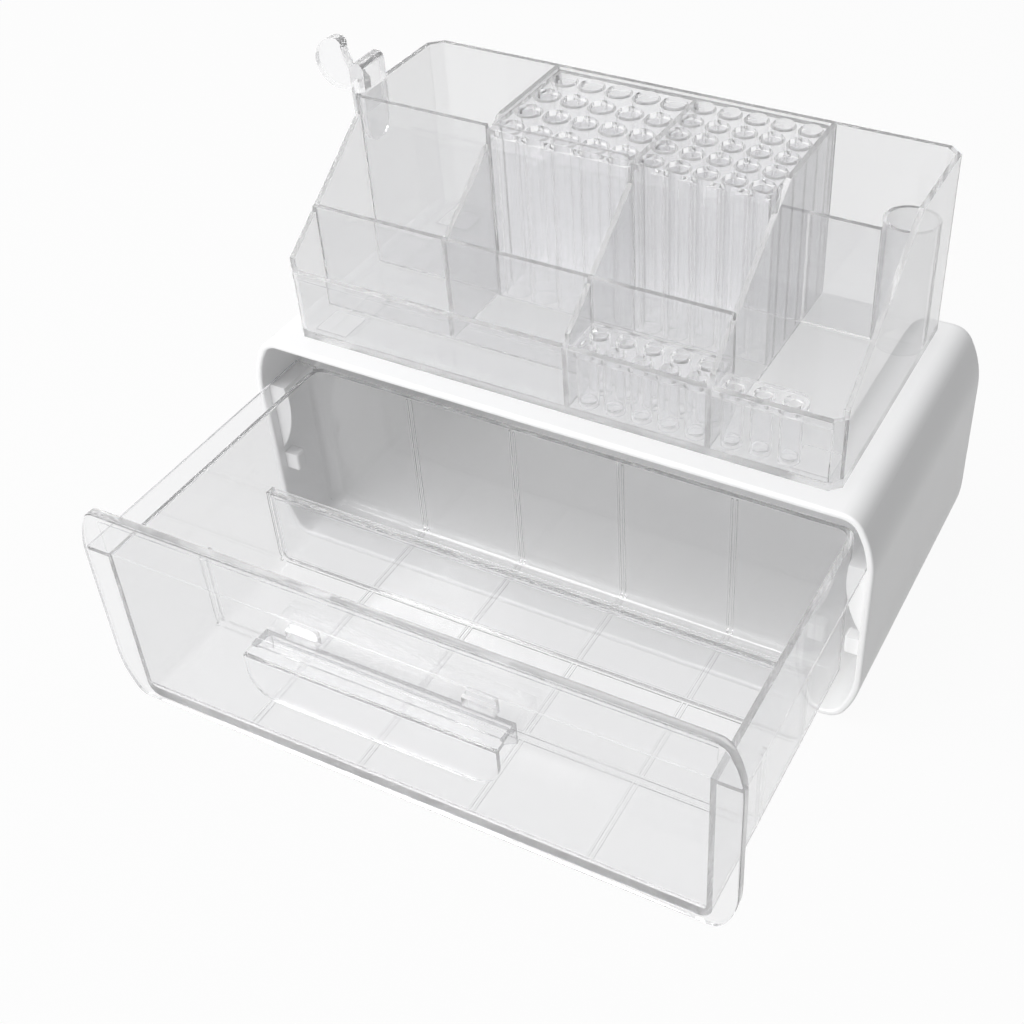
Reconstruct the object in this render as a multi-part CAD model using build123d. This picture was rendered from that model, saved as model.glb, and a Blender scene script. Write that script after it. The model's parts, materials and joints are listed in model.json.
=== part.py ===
from build123d import *
from math import cos, radians, sin
import os

# Desk organiser: a white drawer casing, a clear drawer and a clear stepped tray on top.
# Millimetres. x runs along the width, y from front to back, z upwards.
# The origin is the middle of the casing's underside. The drawer stands open.

# ---- casing -------------------------------------------------------------------------
CASE_W = 300.0
CASE_H = 116.0
CASE_D = 148.0
CASE_WALL = 3.2
CASE_BACK = 2.0
SIDE_R = 48.5          # long gentle arc at the ends of each side
TURN_R = 10.8          # small turn between that arc and the top or the base
TURN_ANGLE = 29.0      # where the two arcs meet, from the horizontal
RIM_ROUND = 1.2
BACK_ROUND = 5.0       # outer edge round the closed back

FRONT = -CASE_D / 2
BACK = CASE_D / 2
CASE_IN = CASE_W / 2 - CASE_WALL

# ---- drawer -------------------------------------------------------------------------
DRAWER_OPEN = 121.0    # how far the drawer stands out
PANEL_T = 4.0
PANEL_GAP = 0.5        # panel to the casing, at the sides and below
PANEL_TOP_GAP = 2.8    # panel to the casing, above
PANEL_ROUND = 0.8
DRAWER_WALL = 2.4
DRAWER_FLOOR = 2.7
DRAWER_LIFT = 1.9      # drawer floor to the casing floor
DRAWER_REAR_GAP = 0.8
FOOT_R = 5.5           # inner round between the floor and the walls
FLANGE_SIDE_GAP = 1.3  # flange to the casing's side
FLANGE_W = 10.4
FLANGE_T = 2.0
FLANGE_DROP = 27.8     # top of the flanges, below the top of the casing
PANEL_PAD_T = 0.5      # shallow raised field behind the panel's upper edge
PANEL_PAD_DROP = 5.0

PANEL_Y = FRONT - DRAWER_OPEN
PANEL_TOP = CASE_H - CASE_WALL - PANEL_TOP_GAP
BOX_Y0 = PANEL_Y + PANEL_T
BOX_Y1 = BACK - CASE_BACK - DRAWER_REAR_GAP - DRAWER_OPEN
BOX_IN_Y1 = BOX_Y1 - DRAWER_WALL
DRAWER_Z0 = CASE_WALL + DRAWER_LIFT
DRAWER_Z1 = DRAWER_Z0 + DRAWER_FLOOR
FLANGE_TOP = CASE_H - FLANGE_DROP
FLANGE_OUT = CASE_IN - FLANGE_SIDE_GAP
DRAWER_HALF = FLANGE_OUT - FLANGE_W
DRAWER_IN = DRAWER_HALF - DRAWER_WALL

# ribs that split the drawer into five columns and three rows
COLUMNS = 5
ROWS = 3
COLUMN_GAP = 1.4       # clear width between the two ribs of a pair
RIB_W = 0.8
RIB_H = 0.7
SLOT_W = 2.6           # clear width of a divider slot
SLOT_RIB_W = 1.0
SLOT_RIB_H = 1.6

# ---- drawer divider -----------------------------------------------------------------
DIVIDER_H = 42.1
DIVIDER_FIT = 0.3      # divider to the drawer, at each side of the wall and below
BEAD_W = 4.6           # thicker strip along the divider's top
BEAD_H = 2.4
BEAD_ROUND = 0.8

DIVIDER_T = SLOT_W - 2 * DIVIDER_FIT
DIVIDER_Z0 = DRAWER_Z1 + DIVIDER_FIT
SLOT_TOP = DIVIDER_Z0 + DIVIDER_H

# ---- runners inside the casing ------------------------------------------------------
RUNNER_GAP = 2.9       # runner to the drawer's side wall
RUNNER_T = 2.4
RUNNER_FIT = 0.3       # under the drawer's flange
RUNNER_CLEAR = 0.5     # runner behind the closed front panel
RUNNER_STOP = 6.0
GUSSET_T = 2.4
GUSSET_H = 33.5
GUARD_GAP = 4.4
GUARD_L = 6.0
GUARD_H = 9.0
GUARD_DROP = 3.0       # guard below the gusset

RUNNER_IN = DRAWER_HALF + RUNNER_GAP
RUNNER_TOP = FLANGE_TOP - FLANGE_T - RUNNER_FIT
GUSSET_Z0 = RUNNER_TOP - RUNNER_T - GUSSET_H
GUARD_Z1 = GUSSET_Z0 - GUARD_DROP
GUARD_IN = DRAWER_HALF + GUARD_GAP

# ---- handle -------------------------------------------------------------------------
HANDLE_W = 112.0
HANDLE_OUT = 15.0
HANDLE_DROP = 29.4     # ledge below the panel's top
HANDLE_T = 2.4
LIP_T = 2.2
LIP_H = 22.1
LIP_CORNER_R = 12.0
LIP_ROUND = 0.8
SEAT_H = 4.5           # strip that lies against the panel
SEAT_T = 2.0
STEP_H = 0.8
STEP_Y = 6.0
STEP_W = 3.2
TAB_W = 13.5
TAB_X = 39.75          # middle of each tab
TAB_H = 5.6            # hook of a tab above the ledge, behind the panel
TAB_T = 2.0
TAB_FIT = 0.3
TAB_SLOT_H = 5.6
GUSSET_W = 2.0
GUSSET_SIZE = 9.0

HANDLE_HALF = HANDLE_W / 2
HANDLE_TOP = PANEL_TOP - HANDLE_DROP
HANDLE_LOW = HANDLE_TOP - HANDLE_T

# ---- tray ---------------------------------------------------------------------------
TRAY_SIDE = 20.5       # tray to the casing's side
TRAY_FRONT = 9.9       # tray to the casing's front
TRAY_REAR = 6.0        # tray to the casing's back
TRAY_FOOT = 0.8
TRAY_BASE = 3.0
TRAY_WALL = 2.4
TRAY_CORNER = 4.5      # cut corners at the front
TRAY_REAR_CORNER = 6.0
TRAY_RIM_H = 3.1       # strip that stands proud along the top of the front wall
TRAY_RIM_OUT = 0.5
TRAY_FRONT_H = 34.5    # heights above the casing's top
TRAY_H = 87.4
SLOPE_Y = 4.9          # the sloping edge starts this far behind the tray's front
SLOPE_H = 37.9
SLOPE = 0.68
FOOT_SIZE = 16.0
FOOT_INSET = 7.0

TRAY_HALF = CASE_W / 2 - TRAY_SIDE
TRAY_IN = TRAY_HALF - TRAY_WALL
HALF_WALL = TRAY_WALL / 2
TRAY_Y0 = FRONT + TRAY_FRONT
TRAY_Y1 = BACK - TRAY_REAR
TRAY_Z0 = CASE_H + TRAY_FOOT
TRAY_FLOOR = TRAY_Z0 + TRAY_BASE
TRAY_FRONT_TOP = CASE_H + TRAY_FRONT_H
TRAY_TOP = CASE_H + TRAY_H
SLOPE_Y0 = TRAY_Y0 + SLOPE_Y
SLOPE_Z0 = CASE_H + SLOPE_H

# dividers that run front to back, as shares of the tray's half width from its middle
SHARE_LEFT = -0.478
SHARE_MID = 0.061
SHARE_RIGHT = 0.558

DIV_LEFT = SHARE_LEFT * TRAY_HALF
DIV_MID = SHARE_MID * TRAY_HALF
DIV_RIGHT = SHARE_RIGHT * TRAY_HALF

# dividers that run across, from the tray's front or back, and their heights above the casing
CROSS_FRONT_IN = 25.2
CROSS_FRONT_H = 53.8
CROSS_LEFT_IN = 66.3
CROSS_RIGHT_IN = 29.6
CROSS_RIGHT_H = 59.2

CROSS_FRONT_Y = TRAY_Y0 + CROSS_FRONT_IN
CROSS_FRONT_TOP = CASE_H + CROSS_FRONT_H
CROSS_LEFT_Y = TRAY_Y0 + CROSS_LEFT_IN
CROSS_RIGHT_Y = TRAY_Y1 - CROSS_RIGHT_IN
CROSS_RIGHT_TOP = CASE_H + CROSS_RIGHT_H

CUP_R = 11.4
CUP_WALL = 1.8
CUP_IN = 26.2          # middle of the cup to the tray's back
CUP_H = 64.7           # its top above the casing

CUP_X = TRAY_IN - CUP_R + CUP_WALL / 2
CUP_Y = TRAY_Y1 - CUP_IN
CUP_TOP = CASE_H + CUP_H

# ---- socket blocks ------------------------------------------------------------------
BLOCK_FIT = 0.3        # block to the tray, all round and under the tubes
PLATE_T = 3.0
TUBE_WALL = 0.9
SKIRT_T = 1.2          # outer wall of the two rear blocks
REAR_HOLE_LEFT = 11.0
REAR_HOLE_RIGHT = 9.6
REAR_TUBE_GAP = 0.6    # least gap between two tubes; a block holds as many as fit
REAR_DROP = 1.0        # below the tray's top
LIP_HIGH = 3.0
LIP_DEEP = 2.0
LIP_END = 0.8
LIP_SOFT = 2.4
FRONT_HOLE = 7.6
FRONT_TUBE_GAP = 1.0
FRONT_DROP = 2.0       # below the tray's front wall
FRONT_RIGHT_W = 37.6
FRONT_RIGHT_D = 12.6
FRONT_RIGHT_CORNER = 6.0
REAR_IN = 63.4         # front of the two rear blocks to the tray's front

REAR_Y0 = TRAY_Y0 + REAR_IN
REAR_TOP = TRAY_TOP - REAR_DROP
FRONT_TOP = TRAY_FRONT_TOP - FRONT_DROP

# ---- hook ---------------------------------------------------------------------------
HOOK_W = 16.8
HOOK_FIT = 0.3
HOOK_LEG_T = 2.2
HOOK_BRIDGE = 13.5     # rounded knob above the tray's wall
HOOK_KNOB_ROUND = 3.0
HOOK_INNER_L = 23.7
HOOK_OUTER_L = 10.4
HOOK_LEG_ROUND = 7.5
CRESCENT_T = 5.0
CRESCENT_SETBACK = 4.2
CRESCENT_OUT = 21.7    # reach beyond the clip's outer leg, at its widest
CRESCENT_UP = 21.5     # tip above the tray's top
CRESCENT_LOW = 1.8     # root below the tray's top
CRESCENT_TIP = 3.4
CRESCENT_ROOT = 5.0

HOOK_Y0 = CROSS_LEFT_Y + HALF_WALL + HOOK_FIT
HOOK_Y1 = HOOK_Y0 + HOOK_W


def box(x0, x1, y0, y1, z0, z1):
    """Block between two opposite corners."""
    size = (x1 - x0, y1 - y0, z1 - z0)
    middle = ((x0 + x1) / 2, (y0 + y1) / 2, (z0 + z1) / 2)
    return Pos(*middle) * Box(*size)


def prism_y(face, y0, y1):
    """Face drawn in x and z, drawn out from y0 to y1."""
    plane = Plane(origin=(0, y1, 0), x_dir=(1, 0, 0), z_dir=(0, -1, 0))
    return extrude(plane * face, amount=y1 - y0)


def prism_x(face, x0, x1):
    """Face drawn in y and z, drawn out from x0 to x1."""
    plane = Plane(origin=(x0, 0, 0), x_dir=(0, 1, 0), z_dir=(1, 0, 0))
    return extrude(plane * face, amount=x1 - x0)


def outline(points):
    """Flat face through a loop of points."""
    return make_face(Polyline(*points, close=True))


def edges_at(shape, axis, level):
    """Edges that lie wholly in the plane at one level of an axis."""
    near = 0.01
    return shape.edges().filter_by_position(axis, level - near, level + near)


def corner_points(inset, half, level, rise):
    """Five points of a right-hand corner, from the flat face to the side."""
    side_r = SIDE_R - inset
    turn_r = TURN_R - inset
    meet = radians(TURN_ANGLE)
    flat_x = half - side_r * (1 - cos(meet)) - turn_r * cos(meet)
    height = turn_r * (1 - sin(meet)) + side_r * sin(meet)

    def on_turn(angle):
        return flat_x + turn_r * cos(angle), level + rise * turn_r * (1 - sin(angle))

    def on_side(angle):
        return half - side_r * (1 - cos(angle)), level + rise * (height - side_r * sin(angle))

    quarter = radians(90)
    turns = [on_turn(quarter), on_turn((quarter + meet) / 2), on_turn(meet)]
    return turns + [on_side(meet / 2), on_side(0)]


def case_face(inset, top_drop=0.0):
    """Section of the casing, moved inwards by inset, its top lowered by top_drop."""
    half = CASE_W / 2 - inset
    low = corner_points(inset, half, inset, 1)
    high = corner_points(inset, half, CASE_H - inset - top_drop, -1)
    right = low + high[::-1]
    left = [(-x, z) for x, z in right[::-1]]
    loop = right + left
    per_corner = len(low)
    edges = []
    for start in range(0, len(loop), per_corner):
        a, b, c, d, e = loop[start:start + per_corner]
        following = loop[(start + per_corner) % len(loop)]
        edges.append(ThreePointArc(a, b, c))
        edges.append(ThreePointArc(c, d, e))
        edges.append(Line(e, following))
    return make_face(edges)


def make_runner():
    """Right-hand ledge under the drawer's flange, with its front gusset and guard."""
    top = RUNNER_TOP
    low = top - RUNNER_T
    y0 = FRONT + PANEL_T + RUNNER_CLEAR
    reach = CASE_IN + CASE_WALL / 2
    ledge = box(RUNNER_IN, reach, y0, BACK - RUNNER_STOP, low, top)
    curve = ThreePointArc(
        (RUNNER_IN, low),
        (RUNNER_IN + RUNNER_T / 2, (low + GUSSET_Z0) / 2),
        (CASE_IN, GUSSET_Z0),
    )
    sides = Polyline(
        (CASE_IN, GUSSET_Z0),
        (reach, GUSSET_Z0),
        (reach, top),
        (RUNNER_IN, top),
        (RUNNER_IN, low),
    )
    gusset = prism_y(make_face([curve, *sides.edges()]), y0, y0 + GUSSET_T)
    guard = box(GUARD_IN, reach, y0, y0 + GUARD_L, GUARD_Z1 - GUARD_H, GUARD_Z1)
    guard = fillet(edges_at(guard, Axis.X, GUARD_IN), RIM_ROUND)
    return ledge + gusset + guard


def make_casing():
    """White shell, open at the front, with the two runners inside."""
    shell = prism_y(case_face(0), FRONT, BACK)
    shell -= prism_y(case_face(CASE_WALL), FRONT, BACK - CASE_BACK)
    shell = fillet(edges_at(shell, Axis.Y, FRONT), RIM_ROUND)
    shell = fillet(edges_at(shell, Axis.Y, BACK), BACK_ROUND)
    runner = make_runner()
    return shell + runner + mirror(runner, about=Plane.YZ)


def column_lines():
    """x of the lines between the drawer's columns."""
    pitch = 2 * DRAWER_HALF / COLUMNS
    return [pitch * (i - COLUMNS / 2) for i in range(1, COLUMNS)]


def row_lines():
    """y of the lines between the drawer's rows."""
    pitch = (BOX_IN_Y1 - BOX_Y0) / ROWS
    return [BOX_Y0 + pitch * i for i in range(1, ROWS)]


def make_drawer_ribs():
    """Rib pairs on the floor and the back wall, and the divider slots."""
    ribs = []
    sink = DRAWER_FLOOR / 2
    floor_top = DRAWER_Z1 + RIB_H
    slot_half = SLOT_W / 2 + SLOT_RIB_W
    starts = [BOX_Y0 - sink] + [y + slot_half for y in row_lines()]
    ends = [y - slot_half for y in row_lines()] + [BOX_IN_Y1 + sink]
    for x in column_lines():
        for side in (-1, 1):
            middle = x + side * (COLUMN_GAP + RIB_W) / 2
            x0 = middle - RIB_W / 2
            x1 = middle + RIB_W / 2
            for y0, y1 in zip(starts, ends):
                ribs.append(box(x0, x1, y0, y1, DRAWER_Z1 - sink, floor_top))
            y0 = BOX_IN_Y1 - RIB_H
            ribs.append(box(x0, x1, y0, BOX_IN_Y1 + sink, DRAWER_Z1 - sink, FLANGE_TOP - RIB_W))
    outer = DRAWER_IN + sink
    inner = DRAWER_IN - SLOT_RIB_H
    for y in row_lines():
        for side in (-1, 1):
            middle = y + side * (SLOT_W + SLOT_RIB_W) / 2
            y0 = middle - SLOT_RIB_W / 2
            y1 = middle + SLOT_RIB_W / 2
            ribs.append(box(-outer, outer, y0, y1, DRAWER_Z1 - sink, floor_top))
            ribs.append(box(-outer, -inner, y0, y1, DRAWER_Z1, SLOT_TOP))
            ribs.append(box(inner, outer, y0, y1, DRAWER_Z1, SLOT_TOP))
    return ribs


def make_tab_cut(side):
    """Slot in the panel for one of the handle's tabs."""
    low = HANDLE_LOW - TAB_FIT
    half = TAB_W / 2 + TAB_FIT
    middle = side * TAB_X
    through = PANEL_T / 2
    return box(middle - half, middle + half, PANEL_Y - through, BOX_Y0 + through, low, low + TAB_SLOT_H)


def make_drawer():
    """Clear drawer: front panel, box, side flanges, ribs and handle slots."""
    panel_inset = CASE_WALL + PANEL_GAP
    panel = prism_y(case_face(panel_inset, PANEL_TOP_GAP - PANEL_GAP), PANEL_Y, BOX_Y0)
    panel = fillet(edges_at(panel, Axis.Y, PANEL_Y), PANEL_ROUND)
    tub = box(-DRAWER_HALF, DRAWER_HALF, BOX_Y0, BOX_Y1, DRAWER_Z0, FLANGE_TOP)
    outer_r = FOOT_R + DRAWER_WALL / 2
    low_edges = edges_at(tub, Axis.Z, DRAWER_Z0) - edges_at(tub, Axis.Y, BOX_Y0)
    tub = fillet(low_edges + edges_at(tub, Axis.Y, BOX_Y1).filter_by(Axis.Z), outer_r)
    hollow = box(-DRAWER_IN, DRAWER_IN, BOX_Y0, BOX_IN_Y1, DRAWER_Z1, FLANGE_TOP + DRAWER_WALL)
    low_edges = edges_at(hollow, Axis.Z, DRAWER_Z1)
    hollow = fillet(low_edges + edges_at(hollow, Axis.Y, BOX_IN_Y1).filter_by(Axis.Z), FOOT_R)
    drawer = panel + tub - hollow
    y0 = BOX_Y0 - PANEL_T / 2
    for side in (-1, 1):
        x0, x1 = sorted((side * (DRAWER_HALF - DRAWER_WALL / 2), side * FLANGE_OUT))
        drawer += box(x0, x1, y0, BOX_Y1, FLANGE_TOP - FLANGE_T, FLANGE_TOP)
    pad_top = PANEL_TOP - PANEL_PAD_DROP
    drawer += box(-DRAWER_HALF, DRAWER_HALF, y0, BOX_Y0 + PANEL_PAD_T, FLANGE_TOP, pad_top)
    for rib in make_drawer_ribs():
        drawer += rib
    for side in (-1, 1):
        drawer -= make_tab_cut(side)
    return drawer


def make_divider():
    """Loose cross wall with a thicker top, in the rear pair of slots."""
    y = row_lines()[-1]
    half = DRAWER_IN - DIVIDER_FIT
    wall = box(-half, half, y - DIVIDER_T / 2, y + DIVIDER_T / 2, DIVIDER_Z0, SLOT_TOP)
    feet = edges_at(wall, Axis.Z, DIVIDER_Z0).filter_by(Axis.Y)
    wall = fillet(feet, FOOT_R + DIVIDER_FIT)
    reach = DRAWER_IN - SLOT_RIB_H - DIVIDER_FIT
    bead = box(-reach, reach, y - BEAD_W / 2, y + BEAD_W / 2, SLOT_TOP - BEAD_H, SLOT_TOP)
    return wall + fillet(edges_at(bead, Axis.Z, SLOT_TOP).filter_by(Axis.X), BEAD_ROUND)


def make_handle():
    """Clear pull: ledge, hanging lip, strip on the panel and two tabs through it."""
    half = HANDLE_HALF
    y0 = PANEL_Y - HANDLE_OUT
    handle = box(-half, half, y0, PANEL_Y, HANDLE_LOW, HANDLE_TOP)
    lip = box(-half, half, y0, y0 + LIP_T, HANDLE_TOP - LIP_H, HANDLE_TOP)
    handle += fillet(edges_at(lip, Axis.Z, HANDLE_TOP - LIP_H).filter_by(Axis.Y), LIP_CORNER_R)
    front_edge = edges_at(handle, Axis.Y, y0) & edges_at(handle, Axis.Z, HANDLE_TOP)
    handle = fillet(front_edge, LIP_ROUND)
    handle += box(-half, half, PANEL_Y - SEAT_T, PANEL_Y, HANDLE_TOP - SEAT_H, HANDLE_TOP)
    step_y = PANEL_Y - STEP_Y
    handle += box(-half, half, step_y - STEP_W, step_y, HANDLE_LOW, HANDLE_TOP + STEP_H)
    corner = outline([
        (PANEL_Y, HANDLE_LOW),
        (PANEL_Y - GUSSET_SIZE, HANDLE_LOW),
        (PANEL_Y, HANDLE_LOW - GUSSET_SIZE),
    ])
    hook_y = BOX_Y0 + TAB_FIT
    top = HANDLE_TOP + TAB_H
    for side in (-1, 1):
        x0, x1 = sorted((side * (half - GUSSET_W), side * half))
        handle += prism_x(corner, x0, x1)
        x0 = side * TAB_X - TAB_W / 2
        x1 = x0 + TAB_W
        handle += box(x0, x1, PANEL_Y - SEAT_T, hook_y + TAB_T, HANDLE_LOW, HANDLE_TOP)
        hook = box(x0, x1, hook_y, hook_y + TAB_T, HANDLE_LOW, top)
        handle += fillet(edges_at(hook, Axis.Z, top).filter_by(Axis.Y), TAB_T)
    return handle


def slope_z(y):
    """Height of the tray's sloping edge."""
    return SLOPE_Z0 + SLOPE * (y - SLOPE_Y0)


def side_face(y0, y1, step_y=None):
    """Upright wall whose top follows the slope, with or without a step to full height."""
    full_y = SLOPE_Y0 + (TRAY_TOP - SLOPE_Z0) / SLOPE
    points = [(y0, TRAY_Z0), (y1, TRAY_Z0), (y1, TRAY_TOP)]
    if step_y is None:
        points.append((full_y, TRAY_TOP))
    else:
        points.append((step_y, TRAY_TOP))
        points.append((step_y, slope_z(step_y)))
    if y0 < SLOPE_Y0:
        points.append((SLOPE_Y0, SLOPE_Z0))
        points.append((SLOPE_Y0, TRAY_FRONT_TOP))
        points.append((y0, TRAY_FRONT_TOP))
    else:
        points.append((y0, slope_z(y0)))
    return outline(points)


def plan_face(inset):
    """Plan of the tray with cut corners, moved inwards by inset."""
    half = TRAY_HALF - inset
    y0 = TRAY_Y0 + inset
    y1 = TRAY_Y1 - inset
    ease = inset * (2 - 2 ** 0.5)
    low = TRAY_CORNER - ease
    high = TRAY_REAR_CORNER - ease
    right = [(half - low, y0), (half, y0 + low), (half, y1 - high), (half - high, y1)]
    left = [(-x, y) for x, y in right[::-1]]
    return outline(right + left)


def prism_z(face, z0, z1):
    """Plan face drawn up from z0 to z1."""
    return extrude(Pos(0, 0, z0) * face, amount=z1 - z0)


def make_tray():
    """Clear tray: floor, outer walls, dividers, cup and feet in one moulding."""
    ring = prism_z(plan_face(0), TRAY_Z0, TRAY_TOP) - prism_z(plan_face(TRAY_WALL), TRAY_FLOOR, TRAY_TOP)
    beyond = TRAY_HALF * 2
    left = prism_x(side_face(TRAY_Y0, TRAY_Y1, CROSS_LEFT_Y + HALF_WALL), -beyond, 0)
    right = prism_x(side_face(TRAY_Y0, TRAY_Y1), 0, beyond)
    tray = (ring & left) + (ring & right)
    y1 = TRAY_Y1 - HALF_WALL
    y_front = TRAY_Y0 + HALF_WALL
    low = TRAY_FLOOR - TRAY_BASE / 2
    for x, y0, y_end in (
        (DIV_LEFT, CROSS_FRONT_Y, y1),
        (DIV_MID, y_front, REAR_Y0 - BLOCK_FIT),
        (DIV_RIGHT, y_front, y1),
    ):
        wall = prism_x(side_face(y0, y1), x - HALF_WALL, x + HALF_WALL)
        tray += wall & box(x - HALF_WALL, x + HALF_WALL, y0, y_end, low, TRAY_TOP)
    edge = TRAY_HALF - HALF_WALL
    for x0, x1, y, top in (
        (-edge, DIV_RIGHT, CROSS_FRONT_Y, CROSS_FRONT_TOP),
        (-edge, DIV_LEFT, CROSS_LEFT_Y, TRAY_TOP),
        (DIV_RIGHT, CUP_X - CUP_R + CUP_WALL / 2, CROSS_RIGHT_Y, CROSS_RIGHT_TOP),
    ):
        tray += box(x0, x1, y - HALF_WALL, y + HALF_WALL, low, top)
    rim = TRAY_HALF - TRAY_CORNER
    tray += box(-rim, rim, TRAY_Y0 - TRAY_RIM_OUT, y_front, TRAY_FRONT_TOP - TRAY_RIM_H, TRAY_FRONT_TOP)
    cup_h = CUP_TOP - low
    tray += Pos(CUP_X, CUP_Y, low + cup_h / 2) * Cylinder(CUP_R, cup_h)
    bore_h = CUP_TOP - TRAY_FLOOR
    tray -= Pos(CUP_X, CUP_Y, TRAY_FLOOR + bore_h / 2) * Cylinder(CUP_R - CUP_WALL, bore_h)
    for sx in (-1, 1):
        for y in (TRAY_Y0 + FOOT_INSET, TRAY_Y1 - FOOT_INSET - FOOT_SIZE):
            x0, x1 = sorted((sx * (TRAY_HALF - FOOT_INSET), sx * (TRAY_HALF - FOOT_INSET - FOOT_SIZE)))
            tray += box(x0, x1, y, y + FOOT_SIZE, CASE_H, TRAY_Z0 + TRAY_BASE / 2)
    return tray


def make_block(x0, x1, y0, y1, top, hole, gap, skirt=0.0):
    """Plate with as many open tubes hanging from it as fit, with or without a skirt."""
    block = box(x0, x1, y0, y1, top - PLATE_T, top)
    low = TRAY_FLOOR + BLOCK_FIT
    if skirt:
        block += box(x0, x1, y0, y1, low, top)
        block -= box(x0 + skirt, x1 - skirt, y0 + skirt, y1 - skirt, low, top - PLATE_T)
    height = top - low
    room = hole + 2 * TUBE_WALL + gap
    columns = int((x1 - x0) / room)
    rows = int((y1 - y0) / room)
    pitch_x = (x1 - x0) / columns
    pitch_y = (y1 - y0) / rows
    spots = []
    for i in range(columns):
        for j in range(rows):
            spots.append((x0 + pitch_x * (i + 0.5), y0 + pitch_y * (j + 0.5)))
    tube = Cylinder(hole / 2 + TUBE_WALL, height)
    bore = Cylinder(hole / 2, height)
    middle = low + height / 2
    block += [Pos(x, y, middle) * tube for x, y in spots]
    block -= [Pos(x, y, middle) * bore for x, y in spots]
    return block


def make_rear_left():
    """Rear block with twenty wide sockets and a raised lip along its front."""
    x0 = DIV_LEFT + HALF_WALL + BLOCK_FIT
    x1 = DIV_MID
    y1 = TRAY_Y1 - TRAY_WALL - BLOCK_FIT
    block = make_block(x0, x1, REAR_Y0, y1, REAR_TOP, REAR_HOLE_LEFT, REAR_TUBE_GAP, SKIRT_T)
    top = REAR_TOP + LIP_HIGH
    lip = box(x0 + LIP_END, x1 - LIP_END, REAR_Y0, REAR_Y0 + LIP_DEEP, REAR_TOP - PLATE_T, top)
    return block + fillet(edges_at(lip, Axis.Z, top).filter_by(Axis.Y), LIP_SOFT)


def make_rear_right():
    """Rear block with twenty-five narrower sockets."""
    x0 = DIV_MID + BLOCK_FIT
    x1 = DIV_RIGHT - HALF_WALL - BLOCK_FIT
    y1 = TRAY_Y1 - TRAY_WALL - BLOCK_FIT
    return make_block(x0, x1, REAR_Y0, y1, REAR_TOP, REAR_HOLE_RIGHT, REAR_TUBE_GAP, SKIRT_T)


def make_front_center():
    """Low block with ten small sockets behind the front wall."""
    x0 = DIV_MID + HALF_WALL + BLOCK_FIT
    x1 = DIV_RIGHT - HALF_WALL - BLOCK_FIT
    y0 = TRAY_Y0 + TRAY_WALL + BLOCK_FIT
    y1 = CROSS_FRONT_Y - HALF_WALL - BLOCK_FIT
    return make_block(x0, x1, y0, y1, FRONT_TOP, FRONT_HOLE, FRONT_TUBE_GAP)


def make_front_right():
    """Low block with three small sockets and one rounded corner."""
    x0 = DIV_RIGHT + HALF_WALL + BLOCK_FIT
    x1 = x0 + FRONT_RIGHT_W
    y0 = TRAY_Y0 + TRAY_WALL + BLOCK_FIT
    y1 = y0 + FRONT_RIGHT_D
    block = make_block(x0, x1, y0, y1, FRONT_TOP, FRONT_HOLE, FRONT_TUBE_GAP)
    return fillet(edges_at(block, Axis.X, x1) & edges_at(block, Axis.Y, y1), FRONT_RIGHT_CORNER)


def make_hook():
    """Clip astride the tray's left wall with a crescent hook on its outer side."""
    wall_out = -TRAY_HALF - HOOK_FIT
    wall_in = -TRAY_IN + HOOK_FIT
    outer_x = wall_out - HOOK_LEG_T
    inner_x = wall_in + HOOK_LEG_T
    low = TRAY_TOP + HOOK_FIT
    top = low + HOOK_BRIDGE
    inner = box(wall_in, inner_x, HOOK_Y0, HOOK_Y1, TRAY_TOP - HOOK_INNER_L, low)
    inner = fillet(edges_at(inner, Axis.Z, TRAY_TOP - HOOK_INNER_L).filter_by(Axis.X), HOOK_LEG_ROUND)
    outer = box(outer_x, wall_out, HOOK_Y0, HOOK_Y1, TRAY_TOP - HOOK_OUTER_L, low)
    bridge = box(outer_x, inner_x, HOOK_Y0, HOOK_Y1, low, top)
    bridge = fillet(edges_at(bridge, Axis.Z, top).filter_by(Axis.Y), HOOK_KNOB_ROUND)
    y0 = HOOK_Y0 + CRESCENT_SETBACK
    return inner + outer + bridge + prism_y(crescent_face(wall_out), y0, y0 + CRESCENT_T)


def crescent_face(wall_out):
    """Open crescent in x and z, rooted in the clip's outer leg."""
    root_x = wall_out - HOOK_LEG_T / 2
    root_low = TRAY_TOP - CRESCENT_LOW
    root_top = root_low + CRESCENT_ROOT
    belly_z = TRAY_TOP + CRESCENT_UP / 2
    tip_x = root_x - CRESCENT_OUT / 3
    tip_z = TRAY_TOP + CRESCENT_UP
    low_x = root_x - CRESCENT_OUT / 2
    tip_low = (tip_x, tip_z - CRESCENT_TIP)
    tip_out = (tip_x - CRESCENT_TIP, tip_z)
    return make_face([
        ThreePointArc(tip_out, (root_x - CRESCENT_OUT, belly_z), (low_x, root_low)),
        Line((low_x, root_low), (root_x, root_low)),
        Line((root_x, root_low), (root_x, root_top)),
        ThreePointArc((root_x, root_top), (tip_x + CRESCENT_TIP / 2, belly_z), tip_low),
        ThreePointArc(tip_low, (tip_x - CRESCENT_TIP / 4, tip_z - CRESCENT_TIP / 4), tip_out),
    ])


NODES = {
    "casing": make_casing,
    "drawer_box": make_drawer,
    "drawer_handle": make_handle,
    "drawer_divider": make_divider,
    "top_tray": make_tray,
    "brush_block_rear_left": make_rear_left,
    "brush_block_rear_right": make_rear_right,
    "bit_block_front_center": make_front_center,
    "bit_block_front_right": make_front_right,
    "hook_clip": make_hook,
}

os.makedirs("parts", exist_ok=True)
for node, make in NODES.items():
    shape = make()
    box_size = shape.bounding_box().size
    print(node, "solids", len(shape.solids()), "size", [round(v, 1) for v in box_size])
    export_step(shape, f"parts/{node}.step")
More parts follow.
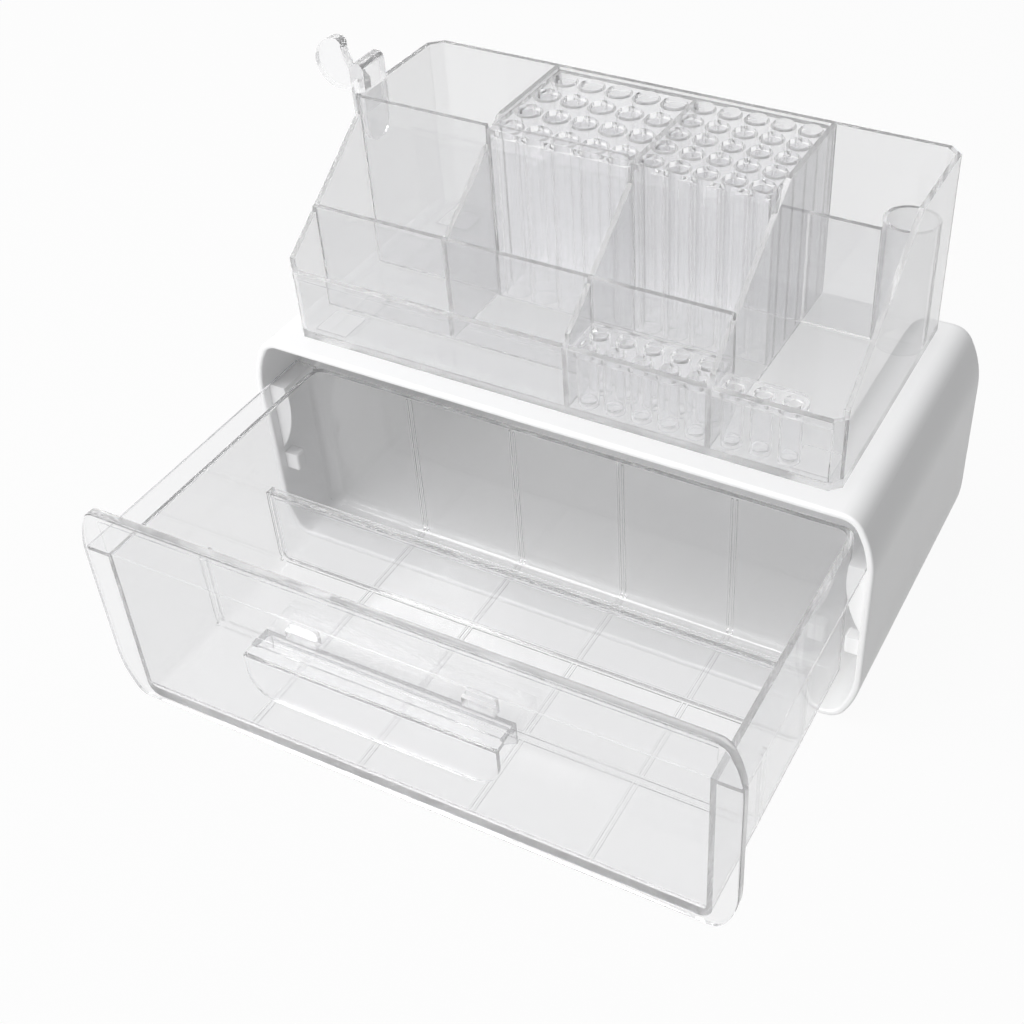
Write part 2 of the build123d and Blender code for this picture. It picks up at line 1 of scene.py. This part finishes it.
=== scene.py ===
# %% [markdown]
# # A clear drawer in a white casing, with a clear stepped tray on top
# This lesson dresses a desk organiser that was already built as solid plastic pieces: a white casing,
# a drawer that slides in it, and a tray that holds brushes and small tools. The solids are right in
# shape, so nothing is modelled twice here. What makes or breaks this object is its two plastics, one
# opaque and glossy, one clear, and the soft light of a product photograph that lets clear walls show.
#
# The first cell loads the solids. They stay where they are: the cells below give them their finishes,
# add the small rounded feet of the front tubes, and build a studio around them.

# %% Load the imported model
import bpy
import json
import math
from mathutils import Matrix, Vector


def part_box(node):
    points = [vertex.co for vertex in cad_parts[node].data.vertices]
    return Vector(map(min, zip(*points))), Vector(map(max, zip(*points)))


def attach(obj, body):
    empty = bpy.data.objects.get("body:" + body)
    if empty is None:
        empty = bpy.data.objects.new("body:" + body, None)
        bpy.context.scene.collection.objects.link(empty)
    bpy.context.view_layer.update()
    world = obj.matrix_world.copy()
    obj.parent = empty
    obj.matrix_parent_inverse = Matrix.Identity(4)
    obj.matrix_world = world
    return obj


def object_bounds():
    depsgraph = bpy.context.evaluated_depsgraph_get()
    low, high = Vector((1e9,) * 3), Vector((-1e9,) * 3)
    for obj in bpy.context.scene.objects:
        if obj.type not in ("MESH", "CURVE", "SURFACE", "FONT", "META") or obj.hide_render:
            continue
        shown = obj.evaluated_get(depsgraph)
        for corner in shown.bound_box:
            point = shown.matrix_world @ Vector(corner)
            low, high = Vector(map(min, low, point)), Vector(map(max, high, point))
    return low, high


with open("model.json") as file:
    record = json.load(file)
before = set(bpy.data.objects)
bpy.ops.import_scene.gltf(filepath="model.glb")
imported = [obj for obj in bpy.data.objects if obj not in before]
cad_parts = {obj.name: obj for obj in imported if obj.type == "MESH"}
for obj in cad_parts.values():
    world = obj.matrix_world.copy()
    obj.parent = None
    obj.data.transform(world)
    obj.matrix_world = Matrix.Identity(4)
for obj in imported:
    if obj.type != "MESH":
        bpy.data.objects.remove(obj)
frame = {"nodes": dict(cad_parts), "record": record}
nodes = frame["nodes"]
cad_low, cad_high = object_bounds()
print("nodes:", sorted(nodes))
print("size in metres:", [round(v, 4) for v in cad_high - cad_low])

# %% [markdown]
# ## The camera
# The photograph looks down on the organiser from its front right. Its edges give the camera: the lens
# from how strongly parallel edges run together, and the angle from where they meet. The picture was
# cropped after it was taken, so the lens's own axis is off the middle, which a small shift repeats.
# The picture and the lens are in pixels, the sensor in millimetres, the eye's place in metres and the
# angles in degrees.

# %% Place the camera
PICTURE = 1024
FOCAL_PIXELS = 1528.3
LENS_AXIS = (641.1, 494.2)
SENSOR_WIDTH = 36
EYE = Vector((0.2636, -0.5067, 0.5061))
AZIMUTH, ELEVATION, ROLL = (math.radians(angle) for angle in (26.51, 40.405, -0.695))

camera = bpy.data.objects.new("photo_camera", bpy.data.cameras.new("photo_camera"))
bpy.context.scene.collection.objects.link(camera)
forward = Vector((
    -math.sin(AZIMUTH) * math.cos(ELEVATION),
    math.cos(AZIMUTH) * math.cos(ELEVATION),
    -math.sin(ELEVATION),
))
level = Vector((math.cos(AZIMUTH), math.sin(AZIMUTH), 0))
right = level * math.cos(ROLL) + level.cross(forward) * math.sin(ROLL)
up = right.cross(forward)
camera.rotation_mode = "QUATERNION"
camera.rotation_quaternion = Matrix((right, up, -forward)).transposed().to_quaternion()
camera.location = EYE
camera.data.sensor_width = SENSOR_WIDTH
camera.data.lens = FOCAL_PIXELS / PICTURE * SENSOR_WIDTH
camera.data.shift_x = (PICTURE / 2 - LENS_AXIS[0]) / PICTURE
camera.data.shift_y = (LENS_AXIS[1] - PICTURE / 2) / PICTURE
bpy.context.scene.camera = camera
print("lens", round(camera.data.lens, 2), "mm")
print("shift", round(camera.data.shift_x, 4), round(camera.data.shift_y, 4))

# %% [markdown]
# ## Small helpers for node materials
# Both plastics are made from the same few nodes: a noise in the object's own coordinates, a ramp that
# turns it into a narrow range of values, and a bump. Naming them once keeps each material short.

# %% Node helpers
NOISE_MIDDLE = (0.35, 0.65)


def new_material(name):
    """An empty node material with its output node."""
    material = bpy.data.materials.new(name)
    material.use_nodes = True
    tree = material.node_tree
    tree.nodes.clear()
    return material, tree, tree.nodes.new("ShaderNodeOutputMaterial")


def noise(tree, scale, detail=3.0):
    """Noise in the piece's own coordinates, with that many spots a metre."""
    place = tree.nodes.new("ShaderNodeTexCoord")
    spots = tree.nodes.new("ShaderNodeTexNoise")
    spots.inputs["Scale"].default_value = scale
    spots.inputs["Detail"].default_value = detail
    tree.links.new(place.outputs["Object"], spots.inputs["Vector"])
    return spots.outputs["Fac"]


def spread(tree, value, low, high):
    """The middle of a noise, stretched to run from low to high."""
    ramp = tree.nodes.new("ShaderNodeMapRange")
    ramp.inputs["From Min"].default_value = NOISE_MIDDLE[0]
    ramp.inputs["From Max"].default_value = NOISE_MIDDLE[1]
    ramp.inputs["To Min"].default_value = low
    ramp.inputs["To Max"].default_value = high
    tree.links.new(value, ramp.inputs["Value"])
    return ramp.outputs["Result"]


def bump(tree, height, depth, strength):
    """A bump of that depth in metres, at a share of its full strength."""
    node = tree.nodes.new("ShaderNodeBump")
    node.inputs["Strength"].default_value = strength
    node.inputs["Distance"].default_value = depth
    tree.links.new(height, node.inputs["Height"])
    return node.outputs["Normal"]


def either(tree, first, second):
    """1 where either of two values is 1."""
    node = tree.nodes.new("ShaderNodeMath")
    node.operation = "MAXIMUM"
    tree.links.new(first, node.inputs[0])
    tree.links.new(second, node.inputs[1])
    return node.outputs["Value"]


print("helpers ready")

# %% [markdown]
# ## Clear plastic
# Real clear plastic is not empty: it bends light, mirrors the room faintly at a slant, and scatters a
# little of what passes, so that a wall seen on edge turns mid grey instead of black. One Principled
# shader does all of this: acrylic's refraction, and a transmission a little below one, whose missing
# share is a pale haze. Lamp light and light on its way from one dull surface to another pass
# straight through instead of bending, because sharp light through curved plastic would need a far
# longer render and the real piece casts hardly any shadow.

# %% Make the clear plastic
ACRYLIC_IOR = 1.49
CLEAR_ROUGHNESS = (0.01, 0.05)
POLISH_SPOTS = 40
WAVE_SPOTS = 22
WAVE_DEPTH = 0.0003
WAVE_STRENGTH = 0.08


def clear_plastic(name, tint, clearness, through):
    """Clear moulded plastic: its tint, the share that is not haze, and what it lets pass as light."""
    material, tree, output = new_material(name)
    body = tree.nodes.new("ShaderNodeBsdfPrincipled")
    body.distribution = "GGX"
    body.inputs["Base Color"].default_value = (*tint, 1)
    body.inputs["Transmission Weight"].default_value = clearness
    body.inputs["IOR"].default_value = ACRYLIC_IOR
    polish = spread(tree, noise(tree, POLISH_SPOTS, detail=1.0), *CLEAR_ROUGHNESS)
    tree.links.new(polish, body.inputs["Roughness"])
    wave = bump(tree, noise(tree, WAVE_SPOTS, detail=0.0), WAVE_DEPTH, WAVE_STRENGTH)
    tree.links.new(wave, body.inputs["Normal"])
    straight = tree.nodes.new("ShaderNodeBsdfTransparent")
    straight.inputs["Color"].default_value = (through, through, through, 1)
    path = tree.nodes.new("ShaderNodeLightPath")
    mix = tree.nodes.new("ShaderNodeMixShader")
    light_only = either(tree, path.outputs["Is Shadow Ray"], path.outputs["Is Diffuse Ray"])
    tree.links.new(light_only, mix.inputs["Fac"])
    tree.links.new(body.outputs["BSDF"], mix.inputs[1])
    tree.links.new(straight.outputs["BSDF"], mix.inputs[2])
    tree.links.new(mix.outputs["Shader"], output.inputs["Surface"])
    return material


DRAWER_CLEAR = clear_plastic("drawer_clear", tint=(0.90, 0.90, 0.905), clearness=0.92, through=0.98)
TRAY_CLEAR = clear_plastic("tray_clear", tint=(0.86, 0.86, 0.865), clearness=0.91, through=0.975)
BLOCK_CLEAR = clear_plastic("block_clear", tint=(0.98, 0.98, 0.985), clearness=0.92, through=0.99)
FITTING_CLEAR = clear_plastic("fitting_clear", tint=(0.94, 0.94, 0.945), clearness=0.92, through=0.98)
print("clear plastics:", DRAWER_CLEAR.name, TRAY_CLEAR.name, BLOCK_CLEAR.name, FITTING_CLEAR.name)

# %% [markdown]
# ## White plastic
# The casing is moulded in white with a polished face. Its colour drifts very faintly, the polish varies
# from place to place, and its edges look a little rounder than the faces and carry a painted highlight,
# a paler colour. A bevel node finds those edges: where its rounded normal leaves the true one, the
# plastic is an edge.

# %% Helpers for the edges of the white plastic
EDGE_LEAN = 0.8
EDGE_SAMPLES = 4


def edge_mask(tree, radius):
    """0 on a flat face, near 1 along an edge, and the softened normal that goes with it."""
    soft = tree.nodes.new("ShaderNodeBevel")
    soft.samples = EDGE_SAMPLES
    soft.inputs["Radius"].default_value = radius
    true = tree.nodes.new("ShaderNodeNewGeometry")
    lean = tree.nodes.new("ShaderNodeVectorMath")
    lean.operation = "DOT_PRODUCT"
    tree.links.new(soft.outputs["Normal"], lean.inputs[0])
    tree.links.new(true.outputs["Normal"], lean.inputs[1])
    ramp = tree.nodes.new("ShaderNodeMapRange")
    ramp.inputs["From Min"].default_value = 1.0
    ramp.inputs["From Max"].default_value = EDGE_LEAN
    tree.links.new(lean.outputs["Value"], ramp.inputs["Value"])
    return ramp.outputs["Result"], soft.outputs["Normal"]


def blended(tree, factor, first, second):
    """A colour between two, by a value from 0 to 1."""
    node = tree.nodes.new("ShaderNodeMix")
    node.data_type = "RGBA"
    node.inputs["A"].default_value = (*first, 1)
    node.inputs["B"].default_value = (*second, 1)
    tree.links.new(factor, node.inputs["Factor"])
    return node.outputs["Result"]


print("edge helpers ready")

# %% [markdown]
# ## The casing's white
# White plastic gives back a little under nine tenths of the light, so its colour stays below full
# white. The roughness keeps to a narrow range and the bump is shallow, because faces as large as these
# look mottled with more.

# %% Make the white plastic
WHITE_DRIFT = ((0.875, 0.875, 0.88), (0.89, 0.89, 0.89))
# Painted highlight: a paler colour that the edges get in place of the light they catch.
PAINTED_EDGE_HIGHLIGHT = (0.93, 0.93, 0.93)
EDGE_RADIUS = 0.0008
WHITE_ROUGHNESS = (0.30, 0.33)
DRIFT_SPOTS = 9
SHEEN_SPOTS = 60
MOULD_SPOTS = 30
MOULD_DEPTH = 0.0001
MOULD_STRENGTH = 0.01
WHITE_IOR = 1.5
WHITE_SHINE = 0.3


def white_plastic(name):
    """Glossy opaque white with a moulded unevenness and a painted highlight along its edges."""
    material, tree, output = new_material(name)
    body = tree.nodes.new("ShaderNodeBsdfPrincipled")
    drift = blended(tree, spread(tree, noise(tree, DRIFT_SPOTS), 0, 1), *WHITE_DRIFT)
    edge, soft_normal = edge_mask(tree, EDGE_RADIUS)
    # Painted highlight: the base colour turns paler along the edges, as if light caught them.
    edge_highlight = tree.nodes.new("ShaderNodeMix")
    edge_highlight.data_type = "RGBA"
    edge_highlight.inputs["B"].default_value = (*PAINTED_EDGE_HIGHLIGHT, 1)
    tree.links.new(edge, edge_highlight.inputs["Factor"])
    tree.links.new(drift, edge_highlight.inputs["A"])
    tree.links.new(edge_highlight.outputs["Result"], body.inputs["Base Color"])
    sheen = spread(tree, noise(tree, SHEEN_SPOTS), *WHITE_ROUGHNESS)
    tree.links.new(sheen, body.inputs["Roughness"])
    mould = bump(tree, noise(tree, MOULD_SPOTS, detail=0.0), MOULD_DEPTH, MOULD_STRENGTH)
    tree.links.new(soft_normal, mould.node.inputs["Normal"])
    tree.links.new(mould, body.inputs["Normal"])
    body.inputs["IOR"].default_value = WHITE_IOR
    body.inputs["Specular IOR Level"].default_value = WHITE_SHINE
    tree.links.new(body.outputs["BSDF"], output.inputs["Surface"])
    return material


CASING_WHITE = white_plastic("casing_white")
print("white plastic:", CASING_WHITE.name)

# %% [markdown]
# ## Which piece wears which plastic
# Only the casing is white. The clear pieces share one kind of plastic in four tints, because the
# photograph shows them differently dark: the tray's walls look greyest, the blocks of tubes clearest.

# %% Dress the pieces
FINISHES = {
    "casing": CASING_WHITE,
    "drawer_box": DRAWER_CLEAR,
    "drawer_divider": DRAWER_CLEAR,
    "drawer_handle": FITTING_CLEAR,
    "top_tray": TRAY_CLEAR,
    "brush_block_rear_left": BLOCK_CLEAR,
    "brush_block_rear_right": BLOCK_CLEAR,
    "bit_block_front_center": BLOCK_CLEAR,
    "bit_block_front_right": BLOCK_CLEAR,
    "hook_clip": FITTING_CLEAR,
}
for name, finish in FINISHES.items():
    piece = nodes[name]
    for index in range(len(piece.material_slots)):
        piece.material_slots[index].material = finish
    print(name, len(piece.data.polygons), "faces,", finish.name)

# %% [markdown]
# ## Rounded ends of the front tubes
# Each small tube of the two front blocks ends in a rounded foot, which shows through the tray's front
# wall as a bright ring. A foot is a shallow bowl turned round the tube's axis: a few rings of points,
# joined ring to ring. The curve below gives each ring as a share of the radius and of the height.

# %% Helper that turns one bowl
BOWL_STEPS = 24
BOWL_CURVE = ((1.0, 1.0), (0.97, 0.62), (0.85, 0.34), (0.62, 0.14), (0.32, 0.03))
BOWL_HEIGHT = 0.0022
SKIN = 0.0005


def bowl(name, middle, radius, floor):
    """A closed bowl of thin plastic with its foot at floor."""
    points = []
    for inset, rise in ((0.0, 0.0), (SKIN, SKIN)):
        for share, height in BOWL_CURVE:
            for step in range(BOWL_STEPS):
                turn = 2 * math.pi * step / BOWL_STEPS
                reach = share * (radius - inset)
                points.append((
                    middle[0] + reach * math.cos(turn),
                    middle[1] + reach * math.sin(turn),
                    floor + rise + height * (BOWL_HEIGHT - rise),
                ))
        points.append((middle[0], middle[1], floor + rise))
    rings = len(BOWL_CURVE)
    shell = rings * BOWL_STEPS + 1
    faces = []
    for first, flip in ((0, False), (shell, True)):
        for ring in range(rings - 1):
            for step in range(BOWL_STEPS):
                here = first + ring * BOWL_STEPS + step
                beside = first + ring * BOWL_STEPS + (step + 1) % BOWL_STEPS
                face = (here, here + BOWL_STEPS, beside + BOWL_STEPS, beside)
                faces.append(face[::-1] if flip else face)
        last = first + (rings - 1) * BOWL_STEPS
        for step in range(BOWL_STEPS):
            face = (last + step, first + shell - 1, last + (step + 1) % BOWL_STEPS)
            faces.append(face[::-1] if flip else face)
    for step in range(BOWL_STEPS):
        following = (step + 1) % BOWL_STEPS
        faces.append((step, following, shell + following, shell + step))
    mesh = bpy.data.meshes.new(name)
    mesh.from_pydata(points, [], faces)
    mesh.shade_smooth()
    mesh.materials.append(BLOCK_CLEAR)
    piece = bpy.data.objects.new(name, mesh)
    bpy.context.scene.collection.objects.link(piece)
    return piece


print("bowl of", BOWL_STEPS, "steps and", len(BOWL_CURVE), "rings, inside and outside")

# %% [markdown]
# ## One foot in each front tube
# The record's sockets give every tube's axis and radius, so the feet need no measuring. Each foot
# stays a hair inside its own tube and above the block's underside, and moves with that block.

# %% Make one bowl for each front tube
FOOT_LIFT = 0.0003
FOOT_PLAY = 0.0001
FRONT_BLOCKS = {
    "front_center_socket": ("bit_block_front_center", "block_front_center"),
    "front_right_socket": ("bit_block_front_right", "block_front_right"),
}
made = 0
for mount in frame["record"]["mounts"]:
    for start, (node, body) in FRONT_BLOCKS.items():
        if mount["name"].startswith(start):
            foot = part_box(node)[0][2] + FOOT_LIFT
            radius = mount["dims"]["r_mm"] / 1000 - FOOT_PLAY
            piece = bowl(mount["name"].replace("socket", "foot"), mount["pos_m"], radius, foot)
            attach(piece, body)
            made += 1
print("feet:", made)

# %% [markdown]
# ## Studio
# A pale floor that takes the shadow, a white room that the camera and the clear plastic see, and two
# broad soft lamps. The room lights the object only at a plain level; it is shown white through the
# Light Path node, so that the background is white without any more light on the object.

# %% Helper for what the camera sees
def seen_ray(tree, path):
    """1 for a ray that shows the background: straight, mirrored or through clear plastic."""
    mirrored = either(tree, path.outputs["Is Glossy Ray"], path.outputs["Is Transmission Ray"])
    return either(tree, path.outputs["Is Camera Ray"], mirrored)


print("background helper ready")

# %% [markdown]
# ## Floor
# A plain square of paper lies just below the casing. To a ray that shows the background it is nearly
# all a white glow, so hardly any shadow is left on it; to the light that bounces about, it is mid-grey
# paper.

# %% Floor
FLOOR_HALF = 3.0
FLOOR_DROP = 0.0005
FLOOR_GREY = (0.5, 0.5, 0.5, 1)
WHITE = (1, 1, 1, 1)
GLOW_SHARE = 0.95

floor_mesh = bpy.data.meshes.new("studio_floor")
corners = [(x * FLOOR_HALF, y * FLOOR_HALF, 0) for x, y in ((-1, -1), (1, -1), (1, 1), (-1, 1))]
floor_mesh.from_pydata(corners, [], [(0, 1, 2, 3)])
floor = bpy.data.objects.new("studio_floor", floor_mesh)
floor.location.z = cad_low.z - FLOOR_DROP
bpy.context.scene.collection.objects.link(floor)

floor_material, tree, output = new_material("studio_floor")
paper = tree.nodes.new("ShaderNodeBsdfDiffuse")
paper.inputs["Color"].default_value = FLOOR_GREY
glow = tree.nodes.new("ShaderNodeEmission")
glow.inputs["Color"].default_value = WHITE
path = tree.nodes.new("ShaderNodeLightPath")
share = tree.nodes.new("ShaderNodeMath")
share.operation = "MULTIPLY"
share.inputs[1].default_value = GLOW_SHARE
tree.links.new(seen_ray(tree, path), share.inputs[0])
mix = tree.nodes.new("ShaderNodeMixShader")
tree.links.new(share.outputs["Value"], mix.inputs["Fac"])
tree.links.new(paper.outputs["BSDF"], mix.inputs[1])
tree.links.new(glow.outputs["Emission"], mix.inputs[2])
tree.links.new(mix.outputs["Shader"], output.inputs["Surface"])
floor_mesh.materials.append(floor_material)
print("floor", 2 * FLOOR_HALF, "m wide")

# %% [markdown]
# ## Room
# The world is two backgrounds: a faint cool one that lights the object from all sides, and a white
# one for the rays that show the background.

# %% Room
ROOM_TINT = (0.99, 0.995, 1, 1)
ROOM_LIGHT = 0.35

world = bpy.data.worlds.new("studio_room")
bpy.context.scene.world = world
world.use_nodes = True
tree = world.node_tree
tree.nodes.clear()
output = tree.nodes.new("ShaderNodeOutputWorld")
lit = tree.nodes.new("ShaderNodeBackground")
lit.inputs["Color"].default_value = ROOM_TINT
lit.inputs["Strength"].default_value = ROOM_LIGHT
shown = tree.nodes.new("ShaderNodeBackground")
shown.inputs["Color"].default_value = WHITE
shown.inputs["Strength"].default_value = 1.0
path = tree.nodes.new("ShaderNodeLightPath")
mix = tree.nodes.new("ShaderNodeMixShader")
tree.links.new(seen_ray(tree, path), mix.inputs["Fac"])
tree.links.new(lit.outputs["Background"], mix.inputs[1])
tree.links.new(shown.outputs["Background"], mix.inputs[2])
tree.links.new(mix.outputs["Shader"], output.inputs["Surface"])
print("room light", ROOM_LIGHT)

# %% [markdown]
# ## Lamps
# Two large squares of light stand in for soft boxes: the key from above on the left, which leaves the
# casing's right side in half shade, and one low in front of the drawer, which fills its inside.

# %% Lamps
MIDDLE = (0, -0.05, 0.08)


def soft_lamp(name, place, size, power):
    """A square area lamp that points at the middle of the organiser."""
    data = bpy.data.lights.new(name, "AREA")
    data.size = size
    data.energy = power
    lamp = bpy.data.objects.new(name, data)
    lamp.location = place
    lamp.rotation_mode = "QUATERNION"
    lamp.rotation_quaternion = (Vector(MIDDLE) - Vector(place)).to_track_quat("-Z", "Y")
    bpy.context.scene.collection.objects.link(lamp)
    return lamp


lamps = [
    soft_lamp("key_lamp", place=(-0.8, -0.5, 1.8), size=1.4, power=31),
    soft_lamp("front_lamp", place=(-0.5, -2.2, 0.45), size=1.6, power=34),
]
print("lamps:", [lamp.name for lamp in lamps])

# %% [markdown]
# ## Render settings that belong to the object
# Light crosses many walls of clear plastic before it leaves the rear blocks, so the path needs more
# turns than usual; with too few, the densest places turn black. Light mirrored inside a wall counts
# as glossy, so that limit is as high as the others.

# %% Bounces
TURNS = 24
CLEAR_WALLS = 64

cycles = bpy.context.scene.cycles
cycles.max_bounces = TURNS
cycles.transmission_bounces = TURNS
cycles.glossy_bounces = TURNS
cycles.transparent_max_bounces = CLEAR_WALLS
cycles.caustics_reflective = False
cycles.caustics_refractive = False
bpy.context.scene.view_settings.view_transform = "Standard"
print("bounces", cycles.max_bounces)
